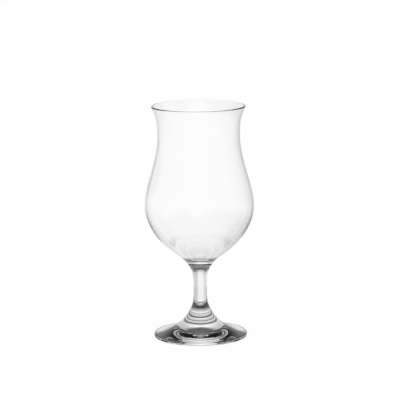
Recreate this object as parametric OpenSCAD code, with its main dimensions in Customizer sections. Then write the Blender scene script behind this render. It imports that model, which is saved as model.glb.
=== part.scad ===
// Hurricane glass: a blown bowl on a drawn stem on a pressed foot, in millimetres.
// The axis of the glass is +Z, and the table that it stands on is at z = 0.

/* [Foot] */
// Diameter of the foot
foot_d = 69.8; // [60:0.1:80]
// Height of the foot, from the table to the seam under the stem
foot_h = 23.1; // [19:0.1:28]
// Thickness of the foot at its edge
foot_edge = 2.5; // [2:0.1:3.4]
// Radius that rounds the edge over, from the foot's top
foot_top_round = 0.6; // [0.4:0.1:1]
// Radius that rounds the edge under, to the table
foot_low_round = 0.6; // [0.3:0.1:0.8]
// Slope of the foot's top beside its edge, in degrees
foot_slope = 7.2; // [5:0.1:12]
// Width of the flat ring that stands on the table
foot_ring = 5; // [3:0.1:7]
// Rise of the hollow under the foot, at the axis
foot_hollow = 2.5; // [1:0.1:4]
// Slope of the hollow beside the standing ring, in degrees
hollow_slope = 6.3; // [3:0.1:9]
// Reach of the foot's curve, inwards from the edge
foot_edge_reach = 15.8; // [10:0.1:18]
// Reach of the foot's curve, down from the stem
foot_neck_reach = 11.6; // [7:0.1:13]

/* [Stem] */
// Length of the stem, from seam to seam
stem_len = 26.5; // [22:0.1:40]
// Diameter of the stem where it is thinnest
stem_d = 10; // [8:0.1:11.5]
// Height of the thinnest place above the foot's seam
stem_thin_h = 10.7; // [7:0.1:15]
// Diameter of the seam between foot and stem
foot_seam_d = 12.9; // [12:0.1:15]
// Lean of the outline at the foot's seam, in degrees
foot_seam_lean = 23; // [12:0.5:27]
// Diameter of the seam between stem and bowl
bowl_seam_d = 12.2; // [11.6:0.1:14]
// Lean of the stem's outline below the bowl's seam, in degrees
stem_top_lean = 13; // [6:0.5:20]

/* [Bowl] */
// Height of the bowl, from its seam to the rim
bowl_h = 125.4; // [115:0.1:140]
// Diameter over the rim's bead
rim_d = 70.2; // [64:0.1:78]
// Lean of the wall under the rim, in degrees
rim_lean = 23; // [15:1:30]
// Diameter of the waist
waist_d = 61.8; // [54:0.1:63]
// Depth of the waist below the rim
waist_depth = 23.7; // [18:0.1:30]
// Diameter of the belly
belly_d = 81.7; // [74:0.1:90]
// Height of the belly above the bowl's seam
belly_h = 50.9; // [46:0.1:60]
// Diameter at the turn of the curve over the stem
turn_d = 30.4; // [26:0.1:34]
// Height of that turn above the bowl's seam
turn_h = 11.3; // [9:0.1:14]
// Lean of the wall at that turn, in degrees
turn_lean = 55.5; // [50:0.5:60]
// Lean of the bowl's outline over its seam, in degrees
neck_lean = 26.5; // [20:0.5:34]

/* [Glass thickness] */
// Thickness of the bead round the rim
rim_bead = 1.6; // [1.6:0.1:2.2]
// Thickness of the wall under the bead
rim_wall = 1.5; // [1:0.1:1.5]
// Thickness of the wall at the waist
waist_wall = 1.3; // [1:0.1:2]
// Thickness of the wall at the belly
belly_wall = 1.5; // [1.2:0.1:2.2]
// Thickness of the wall at the turn over the stem
turn_wall = 1.8; // [1.4:0.1:3]
// Lean of the wall's inside at that turn, in degrees
inner_turn_lean = 53.5; // [50:0.5:57]
// Thickness of the bowl's floor above its seam
bowl_floor = 10.9; // [9:0.1:12]

/* [Hidden] */
// Straight steps in one curve of an outline, and in a small round
curve_steps = 14;
round_steps = 6;
// Share of the way to the next place that a curve holds its direction, on leaving or reaching a place
rim_ease = 0.4;
waist_over_ease = 0.49;
waist_under_ease = 0.32;
belly_over_ease = 0.27;
belly_under_ease = 0.42;
turn_over_ease = 0.45;
turn_under_ease = 0.43;
neck_ease = 0.43;
inner_belly_ease = 0.4;
inner_turn_ease = 0.41;
floor_ease = 0.58;
stem_ease = 0.32;
hollow_edge_ease = 0.44;
hollow_top_ease = 0.11;

// Unit directions in the plane of an outline, where a point is [radius, height]
UP = [0, 1];
OUT = [1, 0];
// Way up along an outline that leans out from the axis by an angle as it rises
function rising(angle) = [sin(angle), cos(angle)];
// Way down along an outline that leans out from the axis by an angle as it falls
function falling(angle) = [sin(angle), -cos(angle)];
// Way out of the glass, square to an outline that leans out as it rises
function outward(angle) = [cos(angle), -sin(angle)];
// Way in towards the axis, up a slope
function inward(slope) = [-cos(slope), sin(slope)];

// Points of a cubic curve, after its first, that leaves and arrives by way of two handles
function curve(start, leave, arrive, end) = [
  for (i = [1:curve_steps])
    let (t = i / curve_steps, s = 1 - t)
      s*s*s * start + 3*s*s*t * leave + 3*s*t*t * arrive + t*t*t * end
];
// Points of an arc, both ends included, with its angles counted from OUT towards UP
function arc(centre, radius, first, last, steps) = [
  for (i = [0:steps])
    let (angle = first + (last - first) * i / steps)
      centre + radius * [cos(angle), sin(angle)]
];

// Places along the outside of the glass, from the table up
foot_seam = [foot_seam_d / 2, foot_h];
stem_thin = [stem_d / 2, foot_h + stem_thin_h];
bowl_seam = [bowl_seam_d / 2, foot_h + stem_len];
turn = [turn_d / 2, bowl_seam[1] + turn_h];
belly = [belly_d / 2, bowl_seam[1] + belly_h];
rim_z = bowl_seam[1] + bowl_h;
waist = [waist_d / 2, rim_z - waist_depth];
bead_centre = [(rim_d - rim_bead) / 2, rim_z - rim_bead / 2];
rim_out = bead_centre + rim_wall / 2 * outward(rim_lean);

// Places along the inside of the bowl, from the rim down
rim_in = bead_centre - rim_wall / 2 * outward(rim_lean);
waist_in = waist - waist_wall * OUT;
belly_in = belly - belly_wall * OUT;
turn_in = turn - turn_wall * outward(turn_lean);
floor_in = [0, bowl_seam[1] + bowl_floor];

// Heights between neighbouring places
flare_rise = rim_out[1] - waist[1];
upper_rise = waist[1] - belly[1];
lower_rise = belly[1] - turn[1];
neck_rise = turn[1] - bowl_seam[1];
stem_over = bowl_seam[1] - stem_thin[1];
stem_under = stem_thin[1] - foot_seam[1];

// Outside of the bowl, from its seam up to the rim
bowl_outside = concat(
  [bowl_seam],
  curve(bowl_seam, bowl_seam + neck_ease * neck_rise * rising(neck_lean),
        turn - turn_under_ease * neck_rise * rising(turn_lean), turn),
  curve(turn, turn + turn_over_ease * lower_rise * rising(turn_lean),
        belly - belly_under_ease * lower_rise * UP, belly),
  curve(belly, belly + belly_over_ease * upper_rise * UP,
        waist - waist_under_ease * upper_rise * UP, waist),
  curve(waist, waist + waist_over_ease * flare_rise * UP,
        rim_out - rim_ease * flare_rise * rising(rim_lean), rim_out)
);

// Inside of the bowl, from the rim down to the middle of its floor
bowl_inside = concat(
  [rim_in],
  curve(rim_in, rim_in - rim_ease * flare_rise * rising(rim_lean),
        waist_in + waist_over_ease * flare_rise * UP, waist_in),
  curve(waist_in, waist_in - waist_under_ease * upper_rise * UP,
        belly_in + belly_over_ease * upper_rise * UP, belly_in),
  curve(belly_in, belly_in - inner_belly_ease * lower_rise * UP,
        turn_in + inner_turn_ease * lower_rise * rising(inner_turn_lean), turn_in),
  curve(turn_in, turn_in - floor_ease * turn_in[0] * rising(inner_turn_lean),
        floor_in + floor_ease * turn_in[0] * OUT, floor_in)
);

// Outside of the stem, from the foot's seam up to the bowl's seam
stem_outside = concat(
  [foot_seam],
  curve(foot_seam, foot_seam - stem_ease * stem_under * falling(foot_seam_lean),
        stem_thin - stem_ease * stem_under * UP, stem_thin),
  curve(stem_thin, stem_thin + stem_ease * stem_over * UP,
        bowl_seam - stem_ease * stem_over * rising(stem_top_lean), bowl_seam)
);

// Edge of the foot, from its sloping top round to the table
foot_r = foot_d / 2;
edge_over = arc([foot_r - foot_top_round, foot_edge - foot_top_round], foot_top_round,
                90 - foot_slope, 0, round_steps);
edge_under = arc([foot_r - foot_low_round, foot_low_round], foot_low_round, 0, -90, round_steps);
top_end = edge_over[0];

// Hollow under the foot, from the standing ring in to the axis
ring_in = [foot_r - foot_low_round - foot_ring, 0];
hollow_top = [0, foot_hollow];
hollow = concat(
  [ring_in],
  curve(ring_in, ring_in + hollow_edge_ease * ring_in[0] * inward(hollow_slope),
        hollow_top + hollow_top_ease * ring_in[0] * OUT, hollow_top)
);

// Outline of the foot, from the stem's seam over its top and edge and back under it to the axis
foot_outside = concat(
  [foot_seam],
  curve(foot_seam, foot_seam + foot_neck_reach * falling(foot_seam_lean),
        top_end + foot_edge_reach * inward(foot_slope), top_end),
  [for (i = [1:round_steps]) edge_over[i]],
  edge_under,
  hollow
);

// Pressed foot: a disc with a rounded edge that rises to the stem, hollow underneath
module foot() {
  color("ghostwhite", 0.5)
    rotate_extrude()
      polygon(concat([[0, foot_seam[1]]], foot_outside));
}

// Drawn stem: a solid rod, thinnest under its middle, that flares to both seams
module stem() {
  color("ghostwhite", 0.5)
    rotate_extrude()
      polygon(concat([[0, foot_seam[1]]], stem_outside, [[0, bowl_seam[1]]]));
}

// Blown bowl: a flared rim with a bead, a waist, a belly, and a thick floor over the stem
module bowl() {
  color("ghostwhite", 0.5)
    rotate_extrude()
      union() {
        polygon(concat([[0, bowl_seam[1]]], bowl_outside, bowl_inside));
        translate(bead_centre)
          circle(d = rim_bead, $fn = 48);
      }
}

foot();
stem();
bowl();
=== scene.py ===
from math import atan, cos, pi, radians, sin, tan

import bpy
from mathutils import Matrix, Vector


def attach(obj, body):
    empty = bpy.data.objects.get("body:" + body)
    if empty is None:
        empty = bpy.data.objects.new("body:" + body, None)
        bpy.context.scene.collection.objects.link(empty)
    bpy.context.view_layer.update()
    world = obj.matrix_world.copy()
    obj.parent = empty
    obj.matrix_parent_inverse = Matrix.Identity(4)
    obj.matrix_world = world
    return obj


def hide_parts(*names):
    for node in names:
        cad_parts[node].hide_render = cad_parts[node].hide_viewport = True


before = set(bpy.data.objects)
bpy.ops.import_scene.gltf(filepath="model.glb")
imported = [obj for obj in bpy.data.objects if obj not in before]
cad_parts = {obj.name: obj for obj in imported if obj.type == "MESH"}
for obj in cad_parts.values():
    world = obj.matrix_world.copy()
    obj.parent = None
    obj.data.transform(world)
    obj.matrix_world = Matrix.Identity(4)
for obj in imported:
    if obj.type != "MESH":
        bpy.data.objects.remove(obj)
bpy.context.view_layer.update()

MM = 0.001
WHITE = (1, 1, 1, 1)

# Sizes of the foot, in millimetres and degrees, as in the part's source
FOOT_D = 69.8
FOOT_H = 23.1
FOOT_EDGE = 2.5
FOOT_TOP_ROUND = 0.6
FOOT_LOW_ROUND = 0.6
FOOT_SLOPE = 7.2
FOOT_RING = 5.0
FOOT_HOLLOW = 2.5
FOOT_EDGE_REACH = 15.8
FOOT_NECK_REACH = 11.6
HOLLOW_SLOPE = 6.3
HOLLOW_EDGE_EASE = 0.44
HOLLOW_TOP_EASE = 0.11

# Sizes of the stem
STEM_LEN = 26.5
STEM_D = 10.0
STEM_THIN_H = 10.7
FOOT_SEAM_D = 12.9
FOOT_SEAM_LEAN = 23.0
BOWL_SEAM_D = 12.2
STEM_TOP_LEAN = 13.0
STEM_EASE = 0.32

# Sizes of the bowl
BOWL_H = 125.4
RIM_D = 70.2
RIM_LEAN = 23.0
WAIST_D = 61.8
WAIST_DEPTH = 23.7
BELLY_D = 81.7
BELLY_H = 50.9
TURN_D = 30.4
TURN_H = 11.3
TURN_LEAN = 55.5
NECK_LEAN = 26.5

# Thickness of the glass
RIM_BEAD = 1.6
RIM_WALL = 1.5
WAIST_WALL = 1.3
BELLY_WALL = 1.5
TURN_WALL = 1.8
BOWL_FLOOR = 10.9
INNER_TURN_LEAN = 53.5

# Share of the way to the next place that a curve holds its direction
RIM_EASE = 0.4
WAIST_OVER_EASE = 0.49
WAIST_UNDER_EASE = 0.32
BELLY_OVER_EASE = 0.27
BELLY_UNDER_EASE = 0.42
TURN_OVER_EASE = 0.45
TURN_UNDER_EASE = 0.43
NECK_EASE = 0.43
INNER_BELLY_EASE = 0.40
INNER_TURN_EASE = 0.41
FLOOR_EASE = 0.58

# Length over which the wall swells into the bead, and the hold of that swell
BEAD_BLEND = 0.9
BEAD_EASE = 0.4

# Fineness of the meshes
CURVE_STEPS = 18
SPIN_STEPS = 192
MERGE_GAP = 1e-7
SHARP_ANGLE = radians(30)
# Upright share of a normal past which a face lies level
LEVEL_FACE = 0.999


# Outlines: a place is (radius, 0, height), and a stop is (handle before, place, handle after)
UP = Vector((0, 0, 1))
OUT = Vector((1, 0, 0))


def place(radius, height):
    """A place on an outline, from a radius and a height in millimetres."""
    return Vector((radius, 0, height)) * MM


def rising(angle):
    """The way up along an outline that leans out from the axis as it rises."""
    return sin(radians(angle)) * OUT + cos(radians(angle)) * UP


def falling(angle):
    """The way down along an outline that leans out from the axis as it falls."""
    return sin(radians(angle)) * OUT - cos(radians(angle)) * UP


def outward(angle):
    """The way out of the glass, square to an outline that leans out as it rises."""
    return cos(radians(angle)) * OUT - sin(radians(angle)) * UP


def passing(spot, way, back, ahead):
    """A stop that the outline passes smoothly in one direction."""
    return spot - back * way, spot, spot + ahead * way


def arc_hold(radius, angle):
    """Length of the handles that make a curve follow an arc."""
    return 4 / 3 * tan(radians(angle) / 4) * radius


def draw_outline(name, stops):
    """Draws one open curve through its stops and makes it a string of edges."""
    bpy.ops.object.select_all(action="DESELECT")
    bpy.ops.curve.primitive_bezier_curve_add(location=(0, 0, 0))
    drawn = bpy.context.object
    drawn.name = name
    spline = drawn.data.splines[0]
    spline.resolution_u = CURVE_STEPS
    spline.bezier_points.add(len(stops) - 2)
    for point, (before, spot, after) in zip(spline.bezier_points, stops):
        point.handle_left_type = "FREE"
        point.handle_right_type = "FREE"
        point.co = spot
        point.handle_left = before
        point.handle_right = after
    bpy.ops.object.convert(target="MESH")
    return bpy.context.object


def close_to_axis(outline, seams):
    """Extrudes the seam ends of an outline level to the axis."""
    for seam in seams:
        bpy.ops.object.mode_set(mode="EDIT")
        bpy.ops.mesh.select_mode(type="VERT")
        bpy.ops.mesh.select_all(action="DESELECT")
        bpy.ops.object.mode_set(mode="OBJECT")
        nearest = min(outline.data.vertices, key=lambda v: (v.co - seam).length)
        nearest.select = True
        bpy.ops.object.mode_set(mode="EDIT")
        bpy.ops.mesh.extrude_vertices_move(TRANSFORM_OT_translate={"value": (-seam.x, 0, 0)})
        bpy.ops.object.mode_set(mode="OBJECT")


def spin_piece(outline, seams):
    """Spins an outline round the axis into a closed piece, with its seam faces marked."""
    close_to_axis(outline, seams)
    bpy.ops.object.mode_set(mode="EDIT")
    bpy.ops.mesh.select_all(action="SELECT")
    bpy.ops.mesh.spin(steps=SPIN_STEPS, angle=2 * pi, center=(0, 0, 0), axis=(0, 0, 1))
    bpy.ops.mesh.select_all(action="SELECT")
    bpy.ops.mesh.remove_doubles(threshold=MERGE_GAP)
    bpy.ops.mesh.normals_make_consistent(inside=False)
    bpy.ops.object.mode_set(mode="OBJECT")
    bpy.ops.object.shade_smooth_by_angle(angle=SHARP_ANGLE)
    outline.data.materials.append(clear_glass)
    outline.data.materials.append(fused_seam)
    for face in outline.data.polygons:
        level = abs(face.normal.z) > LEVEL_FACE
        at_seam = any(abs(face.center.z - seam.z) < MERGE_GAP for seam in seams)
        if level and at_seam:
            face.material_index = 1
    return outline


# Camera at the photograph's viewing angle: a square picture in pixels, places in metres, angles in degrees
PICTURE = 400
FOCAL_PIXELS = 2046.5
CAMERA_BACK = 1.5075
CAMERA_UP = 0.3762
CAMERA_PITCH = 10.246
CAMERA_ROLL = 0.607
AXIS_COLUMN = 198.8

bpy.ops.object.select_all(action="DESELECT")
bpy.ops.object.camera_add(location=(0, -CAMERA_BACK, CAMERA_UP))
camera = bpy.context.object
camera.data.lens = FOCAL_PIXELS * camera.data.sensor_width / PICTURE
pan = atan(((PICTURE - 1) / 2 - AXIS_COLUMN) / FOCAL_PIXELS)
aim = Matrix.Rotation(-pan, 3, "Z")
aim = aim @ Matrix.Rotation(radians(90 - CAMERA_PITCH), 3, "X")
aim = aim @ Matrix.Rotation(radians(-CAMERA_ROLL), 3, "Z")
camera.rotation_euler = aim.to_euler()
bpy.context.scene.camera = camera


# Parts of node trees
def node_value(tree, operation, *values):
    """The output of a math node whose inputs are numbers or other outputs."""
    node = tree.nodes.new("ShaderNodeMath")
    node.operation = operation
    for socket, value in zip(node.inputs, values):
        if isinstance(value, (int, float)):
            socket.default_value = value
        else:
            tree.links.new(value, socket)
    return node.outputs["Value"]


def node_range(tree, value, first, last, low, high):
    """The output of a smooth step of a value from one level to another."""
    node = tree.nodes.new("ShaderNodeMapRange")
    node.interpolation_type = "SMOOTHSTEP"
    inputs = {"Value": value, "From Min": first, "From Max": last, "To Min": low, "To Max": high}
    for key, given in inputs.items():
        if isinstance(given, (int, float)):
            node.inputs[key].default_value = given
        else:
            tree.links.new(given, node.inputs[key])
    return node.outputs["Result"]


def node_ramp(tree, value, stops, reach):
    """Levels at stops from 0 to reach, joined by smooth steps."""
    node = tree.nodes.new("ShaderNodeValToRGB")
    ramp = node.color_ramp
    ramp.interpolation = "EASE"
    while len(ramp.elements) < len(stops):
        ramp.elements.new(0.5)
    for element, (spot, level) in zip(ramp.elements, stops):
        element.position = spot / reach
        element.color = (level, level, level, 1)
    share = node_value(tree, "DIVIDE", value, reach)
    tree.links.new(share, node.inputs["Fac"])
    return node.outputs["Color"]


def place_outputs(tree):
    """Outputs of a point's place on its object: its three coordinates."""
    coordinates = tree.nodes.new("ShaderNodeTexCoord")
    split = tree.nodes.new("ShaderNodeSeparateXYZ")
    tree.links.new(coordinates.outputs["Object"], split.inputs["Vector"])
    return split.outputs["X"], split.outputs["Y"], split.outputs["Z"]


# Materials of the glass, and of the seams inside it where the fused pieces meet unseen
GLASS_IOR = 1.5


def glass_material(name):
    """A clear glass material and its shader."""
    material = bpy.data.materials.new(name)
    material.use_nodes = True
    shader = material.node_tree.nodes["Principled BSDF"]
    shader.inputs["Base Color"].default_value = WHITE
    shader.inputs["Roughness"].default_value = 0
    shader.inputs["IOR"].default_value = GLASS_IOR
    shader.inputs["Transmission Weight"].default_value = 1
    return material, shader


clear_glass, glass_shader = glass_material("clear_glass")
fused_seam, seam_shader = glass_material("fused_seam")
seam_shader.inputs["Alpha"].default_value = 0

# Clearness by millimetres above the table, where the glass over the stem is a little greyer: a painted
# shade that darkens the stem
CLEARNESS_WITH_STEM_SHADE = ((0, 1), (24, 1), (29, 0.95), (47, 0.95), (53, 1))
CLEARNESS_TOP = 180
# Faint ripples from blowing and pressing: waves to the metre, and depth in metres
RIPPLE_SCALE = 70
RIPPLE_DEPTH = 2e-5

# Clearness of the glass, greyer over the stem as painted shade
tree = clear_glass.node_tree
up_mm = node_value(tree, "DIVIDE", place_outputs(tree)[2], MM)
stem_shaded_clearness = node_ramp(tree, up_mm, CLEARNESS_WITH_STEM_SHADE, CLEARNESS_TOP)
tree.links.new(stem_shaded_clearness, glass_shader.inputs["Base Color"])

# Ripples on the glass
coordinates = tree.nodes.new("ShaderNodeTexCoord")
waves = tree.nodes.new("ShaderNodeTexNoise")
waves.inputs["Scale"].default_value = RIPPLE_SCALE
waves.inputs["Detail"].default_value = 0
tree.links.new(coordinates.outputs["Object"], waves.inputs["Vector"])
ripples = tree.nodes.new("ShaderNodeBump")
ripples.inputs["Distance"].default_value = RIPPLE_DEPTH
tree.links.new(waves.outputs["Fac"], ripples.inputs["Height"])
tree.links.new(ripples.outputs["Normal"], glass_shader.inputs["Normal"])

# Places along the outside of the glass, from the table up
foot_seam = place(FOOT_SEAM_D / 2, FOOT_H)
stem_thin = place(STEM_D / 2, FOOT_H + STEM_THIN_H)
bowl_seam = place(BOWL_SEAM_D / 2, FOOT_H + STEM_LEN)
turn = bowl_seam + place((TURN_D - BOWL_SEAM_D) / 2, TURN_H)
belly = bowl_seam + place((BELLY_D - BOWL_SEAM_D) / 2, BELLY_H)
rim_height = FOOT_H + STEM_LEN + BOWL_H
waist = place(WAIST_D / 2, rim_height - WAIST_DEPTH)
bead_centre = place((RIM_D - RIM_BEAD) / 2, rim_height - RIM_BEAD / 2)
rim_up = rising(RIM_LEAN)
rim_across = outward(RIM_LEAN)
under_bead = bead_centre + RIM_WALL / 2 * MM * rim_across - BEAD_BLEND * MM * rim_up

# Places along the inside of the bowl
under_bead_in = bead_centre - RIM_WALL / 2 * MM * rim_across - BEAD_BLEND * MM * rim_up
waist_in = waist - WAIST_WALL * MM * OUT
belly_in = belly - BELLY_WALL * MM * OUT
turn_in = turn - TURN_WALL * MM * outward(TURN_LEAN)
floor_in = place(0, FOOT_H + STEM_LEN + BOWL_FLOOR)

# Heights between neighbouring places
flare_rise = under_bead.z - waist.z
upper_rise = waist.z - belly.z
lower_rise = belly.z - turn.z
neck_rise = turn.z - bowl_seam.z
stem_over = bowl_seam.z - stem_thin.z
stem_under = stem_thin.z - foot_seam.z

# Bowl: from its seam up the outside, round the bead and down the inside to the floor
bead_r = RIM_BEAD / 2 * MM
bead_hold = arc_hold(bead_r, 90)
swell = BEAD_EASE * BEAD_BLEND * MM
floor_hold = FLOOR_EASE * turn_in.x
bowl_stops = [
    passing(bowl_seam, rising(NECK_LEAN), 0, NECK_EASE * neck_rise),
    passing(turn, rising(TURN_LEAN), TURN_UNDER_EASE * neck_rise, TURN_OVER_EASE * lower_rise),
    passing(belly, UP, BELLY_UNDER_EASE * lower_rise, BELLY_OVER_EASE * upper_rise),
    passing(waist, UP, WAIST_UNDER_EASE * upper_rise, WAIST_OVER_EASE * flare_rise),
    passing(under_bead, rim_up, RIM_EASE * flare_rise, swell),
    passing(bead_centre + bead_r * rim_across, rim_up, swell, bead_hold),
    passing(bead_centre + bead_r * rim_up, -rim_across, bead_hold, bead_hold),
    passing(bead_centre - bead_r * rim_across, -rim_up, bead_hold, swell),
    passing(under_bead_in, -rim_up, swell, RIM_EASE * flare_rise),
    passing(waist_in, -UP, WAIST_OVER_EASE * flare_rise, WAIST_UNDER_EASE * upper_rise),
    passing(belly_in, -UP, BELLY_OVER_EASE * upper_rise, INNER_BELLY_EASE * lower_rise),
    passing(turn_in, -rising(INNER_TURN_LEAN), INNER_TURN_EASE * lower_rise, floor_hold),
    passing(floor_in, -OUT, floor_hold, 0),
]
bowl = spin_piece(draw_outline("glass_bowl", bowl_stops), [bowl_seam])

# Stem: from the foot's seam up to the bowl's seam
stem_stops = [
    passing(foot_seam, -falling(FOOT_SEAM_LEAN), 0, STEM_EASE * stem_under),
    passing(stem_thin, UP, STEM_EASE * stem_under, STEM_EASE * stem_over),
    passing(bowl_seam, rising(STEM_TOP_LEAN), STEM_EASE * stem_over, 0),
]
stem = spin_piece(draw_outline("glass_stem", stem_stops), [foot_seam, bowl_seam])

# Foot: from the stem's seam over its top and edge, and back under it to the axis
foot_r = FOOT_D / 2
edge_turn = radians(90 - FOOT_SLOPE)
top_end = place(
    foot_r - FOOT_TOP_ROUND + FOOT_TOP_ROUND * cos(edge_turn),
    FOOT_EDGE - FOOT_TOP_ROUND + FOOT_TOP_ROUND * sin(edge_turn),
)
top_way = falling(90 - FOOT_SLOPE)
over_hold = arc_hold(FOOT_TOP_ROUND * MM, 90 - FOOT_SLOPE)
under_hold = arc_hold(FOOT_LOW_ROUND * MM, 90)
edge_third = (FOOT_EDGE - FOOT_TOP_ROUND - FOOT_LOW_ROUND) / 3 * MM
ring_third = FOOT_RING / 3 * MM
ring_in = place(foot_r - FOOT_LOW_ROUND - FOOT_RING, 0)
hollow_way = -outward(HOLLOW_SLOPE)
foot_stops = [
    passing(foot_seam, falling(FOOT_SEAM_LEAN), 0, FOOT_NECK_REACH * MM),
    passing(top_end, top_way, FOOT_EDGE_REACH * MM, over_hold),
    passing(place(foot_r, FOOT_EDGE - FOOT_TOP_ROUND), -UP, over_hold, edge_third),
    passing(place(foot_r, FOOT_LOW_ROUND), -UP, edge_third, under_hold),
    passing(place(foot_r - FOOT_LOW_ROUND, 0), -OUT, under_hold, ring_third),
    (ring_in + ring_third * OUT, ring_in, ring_in + HOLLOW_EDGE_EASE * ring_in.x * hollow_way),
    passing(place(0, FOOT_HOLLOW), -OUT, HOLLOW_TOP_EASE * ring_in.x, 0),
]
foot = spin_piece(draw_outline("glass_foot", foot_stops), [foot_seam])

# What each piece stands for
for piece, node in ((bowl, "bowl"), (stem, "stem"), (foot, "foot")):
    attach(piece, "root")
    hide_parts(node)


# Studio: a pale floor, a light tent and a low dark card, which stay put when the camera moves
STUDIO_R = 2.5
STUDIO_STEPS = 128
FULL_TURN = 360
HALF_TURN = 180
OVERHEAD = 90
IN_DEGREES = HALF_TURN / pi


def side_output(tree, across, away):
    """The output of a point's side, in degrees, where 180 is straight behind and less is to the left."""
    turned = node_value(tree, "ARCTAN2", across, away)
    return node_value(tree, "MULTIPLY_ADD", turned, IN_DEGREES, HALF_TURN)


def stage_material(name):
    """An empty material, its node tree and its output."""
    material = bpy.data.materials.new(name)
    material.use_nodes = True
    tree = material.node_tree
    tree.nodes.clear()
    return material, tree, tree.nodes.new("ShaderNodeOutputMaterial")


def mix_shaders(tree, share, first, second, output):
    """Links two shaders to a material's output, by the share of the second."""
    mixed = tree.nodes.new("ShaderNodeMixShader")
    tree.links.new(share, mixed.inputs["Fac"])
    tree.links.new(first, mixed.inputs[1])
    tree.links.new(second, mixed.inputs[2])
    tree.links.new(mixed.outputs["Shader"], output.inputs["Surface"])


def show_only_in_glass(screen):
    """Hides a piece of the studio from the camera and from the light on the floor."""
    screen.visible_camera = False
    screen.visible_diffuse = False
    screen.visible_shadow = False


# Levels of the tent at the horizon, by the side in degrees, which the far floor shares as painted shade
TENT_SIDES = (
    (0, 0.88), (60, 1), (100, 1), (130, 1), (150, 0.63), (180, 1),
    (202, 0.62), (225, 0.65), (260, 0.62), (310, 0.77), (360, 0.88),
)

# Levels of painted shade on the near floor by the side, seen only in the glass, and the fall that keeps it
# clear of the glass
FLOOR_DROP = 0.0001
FLOOR_PALE = (0.9, 0.9, 0.9, 1)
FLOOR_SHADE_SIDES = (
    (0, 0.93), (80, 0.95), (130, 0.85), (150, 0.74), (166, 1),
    (184, 1), (206, 0.62), (230, 0.74), (270, 0.62), (360, 0.93),
)
# Distances at which the floor begins and ends its sweep up into the levels of the tent
SWEEP_FROM = 0.3
SWEEP_TO = 1.6
# Painted light and shadow under the foot, which stand for what the glass throws there, by millimetres from
# the axis, behind it and aside
UNDER_FOOT_PAINTED_BEHIND = ((0, 0), (6, 0.02), (12, 0.52), (18, 0.99), (25, 0.2), (31, 1), (36, 0.7), (41, 0.18))
UNDER_FOOT_PAINTED_ASIDE = ((0, 0.01), (10, 0.05), (18, 0.01), (25, 0.28), (31, 0.78), (36, 0.04), (41, 0.47))
# Share of the painted light behind, by the side, and millimetres over which the painted light under the
# foot fades out
UNDER_FOOT_PAINTED_LOBE = ((120, 0), (180, 1), (239, 0))
UNDER_FADE = 41
UNDER_END = 60
# Share of the floor that takes shadow where it is seen
SHADOW_SHARE = 0.06

bpy.ops.object.select_all(action="DESELECT")
bpy.ops.mesh.primitive_circle_add(
    vertices=STUDIO_STEPS, radius=STUDIO_R, fill_type="NGON", location=(0, 0, -FLOOR_DROP)
)
floor = bpy.context.object
floor.name = "studio_floor"
pale_floor, tree, output = stage_material("pale_floor")
floor.data.materials.append(pale_floor)
across, away = place_outputs(tree)[:2]
degrees = side_output(tree, across, away)
across_squared = node_value(tree, "MULTIPLY", across, across)
radius = node_value(tree, "SQRT", node_value(tree, "MULTIPLY_ADD", away, away, across_squared))
radius_mm = node_value(tree, "DIVIDE", radius, MM)
# Painted shade on the floor, seen in the glass: darker to the sides than behind, near and far
near_floor_shade = node_ramp(tree, degrees, FLOOR_SHADE_SIDES, FULL_TURN)
far_floor_shade = node_ramp(tree, degrees, TENT_SIDES, FULL_TURN)
floor_shade_around = node_range(tree, radius, SWEEP_FROM, SWEEP_TO, near_floor_shade, far_floor_shade)
# Painted light and shadow under the foot, dark at the axis with rings of light and shade, seen only in the
# glass
behind = node_ramp(tree, radius_mm, UNDER_FOOT_PAINTED_BEHIND, UNDER_END)
aside = node_ramp(tree, radius_mm, UNDER_FOOT_PAINTED_ASIDE, UNDER_END)
lobe = node_ramp(tree, degrees, UNDER_FOOT_PAINTED_LOBE, FULL_TURN)
under = node_value(tree, "MULTIPLY_ADD", node_value(tree, "SUBTRACT", behind, aside), lobe, aside)
painted_floor_level = node_range(tree, radius_mm, UNDER_FADE, UNDER_END, under, floor_shade_around)
path = tree.nodes.new("ShaderNodeLightPath")
white = node_value(tree, "MAXIMUM", painted_floor_level, path.outputs["Is Camera Ray"])
glow = tree.nodes.new("ShaderNodeEmission")
tree.links.new(white, glow.inputs["Color"])
pale = tree.nodes.new("ShaderNodeBsdfDiffuse")
pale.inputs["Color"].default_value = FLOOR_PALE
looked = node_value(tree, "MAXIMUM", path.outputs["Is Glossy Ray"], path.outputs["Is Transmission Ray"])
looked = node_value(tree, "MAXIMUM", looked, path.outputs["Is Camera Ray"])
share = node_value(tree, "MULTIPLY", looked, 1 - SHADOW_SHARE)
mix_shaders(tree, share, pale.outputs["BSDF"], glow.outputs["Emission"], output)

# Heights at which the tent fades to dark, by the side, and half the height of the fade, all in degrees
TENT_EDGES = (
    (0, 49), (50, 25), (90, 19), (125, 9), (155, 28), (180, 25),
    (205, 26), (235, 15), (270, 30), (310, 26), (360, 49),
)
TENT_EDGE_SOFT = 8.9
# Levels of the dark cloth, which lightens from a height in degrees to overhead, and its faint tint
TENT_DARK = 0.1
TENT_LIGHTENS = 30
TENT_OVERHEAD = 0.27
TENT_TOP_TINT = (1, 0.99, 1.04)
# Fineness of the tent
TENT_SEGMENTS = 64
TENT_RINGS = 32
# Places of the colour sockets on a mix node
MIX_FIRST = 6
MIX_SECOND = 7
MIX_RESULT = 2

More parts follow.
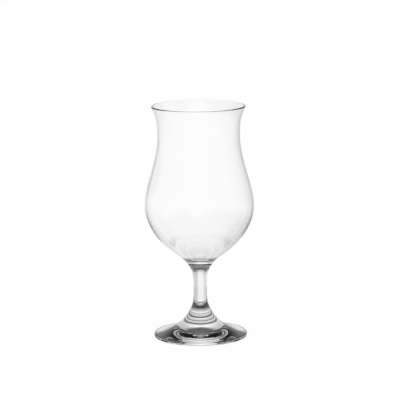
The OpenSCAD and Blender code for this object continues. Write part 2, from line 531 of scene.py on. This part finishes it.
bpy.ops.object.select_all(action="DESELECT")
bpy.ops.mesh.primitive_uv_sphere_add(segments=TENT_SEGMENTS, ring_count=TENT_RINGS, radius=STUDIO_R)
tent = bpy.context.object
tent.name = "light_tent"
bpy.ops.object.mode_set(mode="EDIT")
bpy.ops.mesh.select_all(action="SELECT")
bpy.ops.mesh.bisect(plane_co=(0, 0, -FLOOR_DROP), plane_no=(0, 0, 1), clear_inner=True)
bpy.ops.object.mode_set(mode="OBJECT")
show_only_in_glass(tent)
tent_cloth, tree, output = stage_material("tent_cloth")
tent.data.materials.append(tent_cloth)
across, away, up = place_outputs(tree)
degrees = side_output(tree, across, away)
low = node_ramp(tree, degrees, TENT_SIDES, FULL_TURN)
edge_shares = [(side, edge / OVERHEAD) for side, edge in TENT_EDGES]
edge = node_value(tree, "MULTIPLY", node_ramp(tree, degrees, edge_shares, FULL_TURN), OVERHEAD)
slope = node_value(tree, "ARCSINE", node_value(tree, "DIVIDE", up, STUDIO_R))
height = node_value(tree, "MULTIPLY", slope, IN_DEGREES)
top = node_range(tree, height, TENT_LIGHTENS, OVERHEAD, TENT_DARK, TENT_OVERHEAD)
tinted = tree.nodes.new("ShaderNodeVectorMath")
tinted.operation = "SCALE"
tinted.inputs["Vector"].default_value = TENT_TOP_TINT
tree.links.new(top, tinted.inputs["Scale"])
fade_from = node_value(tree, "SUBTRACT", edge, TENT_EDGE_SOFT)
fade_to = node_value(tree, "ADD", edge, TENT_EDGE_SOFT)
cloth = tree.nodes.new("ShaderNodeMix")
cloth.data_type = "RGBA"
tree.links.new(node_range(tree, height, fade_from, fade_to, 0, 1), cloth.inputs["Factor"])
tree.links.new(low, cloth.inputs[MIX_FIRST])
tree.links.new(tinted.outputs["Vector"], cloth.inputs[MIX_SECOND])
glow = tree.nodes.new("ShaderNodeEmission")
tree.links.new(cloth.outputs[MIX_RESULT], glow.inputs["Color"])
tree.links.new(glow.outputs["Emission"], output.inputs["Surface"])

# Low dark card round the foot, which draws its edges: its size, and the height where it begins to fade
CARD_R = 0.06
CARD_H = 0.032
CARD_FULL = 0.018
CARD_DARK = (0.03, 0.03, 0.03, 1)
# Cover of the card by the side, which is open behind the glass
CARD_SIDES = ((108, 1), (128, 0), (232, 0), (252, 1))

bpy.ops.object.select_all(action="DESELECT")
bpy.ops.mesh.primitive_cylinder_add(
    vertices=STUDIO_STEPS, radius=CARD_R, depth=CARD_H, end_fill_type="NOTHING", location=(0, 0, CARD_H / 2)
)
card = bpy.context.object
card.name = "edge_card"
show_only_in_glass(card)
dark_card, tree, output = stage_material("dark_card")
card.data.materials.append(dark_card)
across, away, up = place_outputs(tree)
beside = node_ramp(tree, side_output(tree, across, away), CARD_SIDES, FULL_TURN)
cover = node_range(tree, up, CARD_FULL - CARD_H / 2, CARD_H / 2, beside, 0)
clear = tree.nodes.new("ShaderNodeBsdfTransparent")
glow = tree.nodes.new("ShaderNodeEmission")
glow.inputs["Color"].default_value = CARD_DARK
mix_shaders(tree, cover, clear.outputs["BSDF"], glow.outputs["Emission"], output)

# World: white behind everything, and the plain light of the scene
world = bpy.data.worlds.new("studio_air")
bpy.context.scene.world = world
world.use_nodes = True
surround = world.node_tree.nodes["Background"]
surround.inputs["Color"].default_value = WHITE

bpy.context.scene.view_settings.view_transform = "Standard"
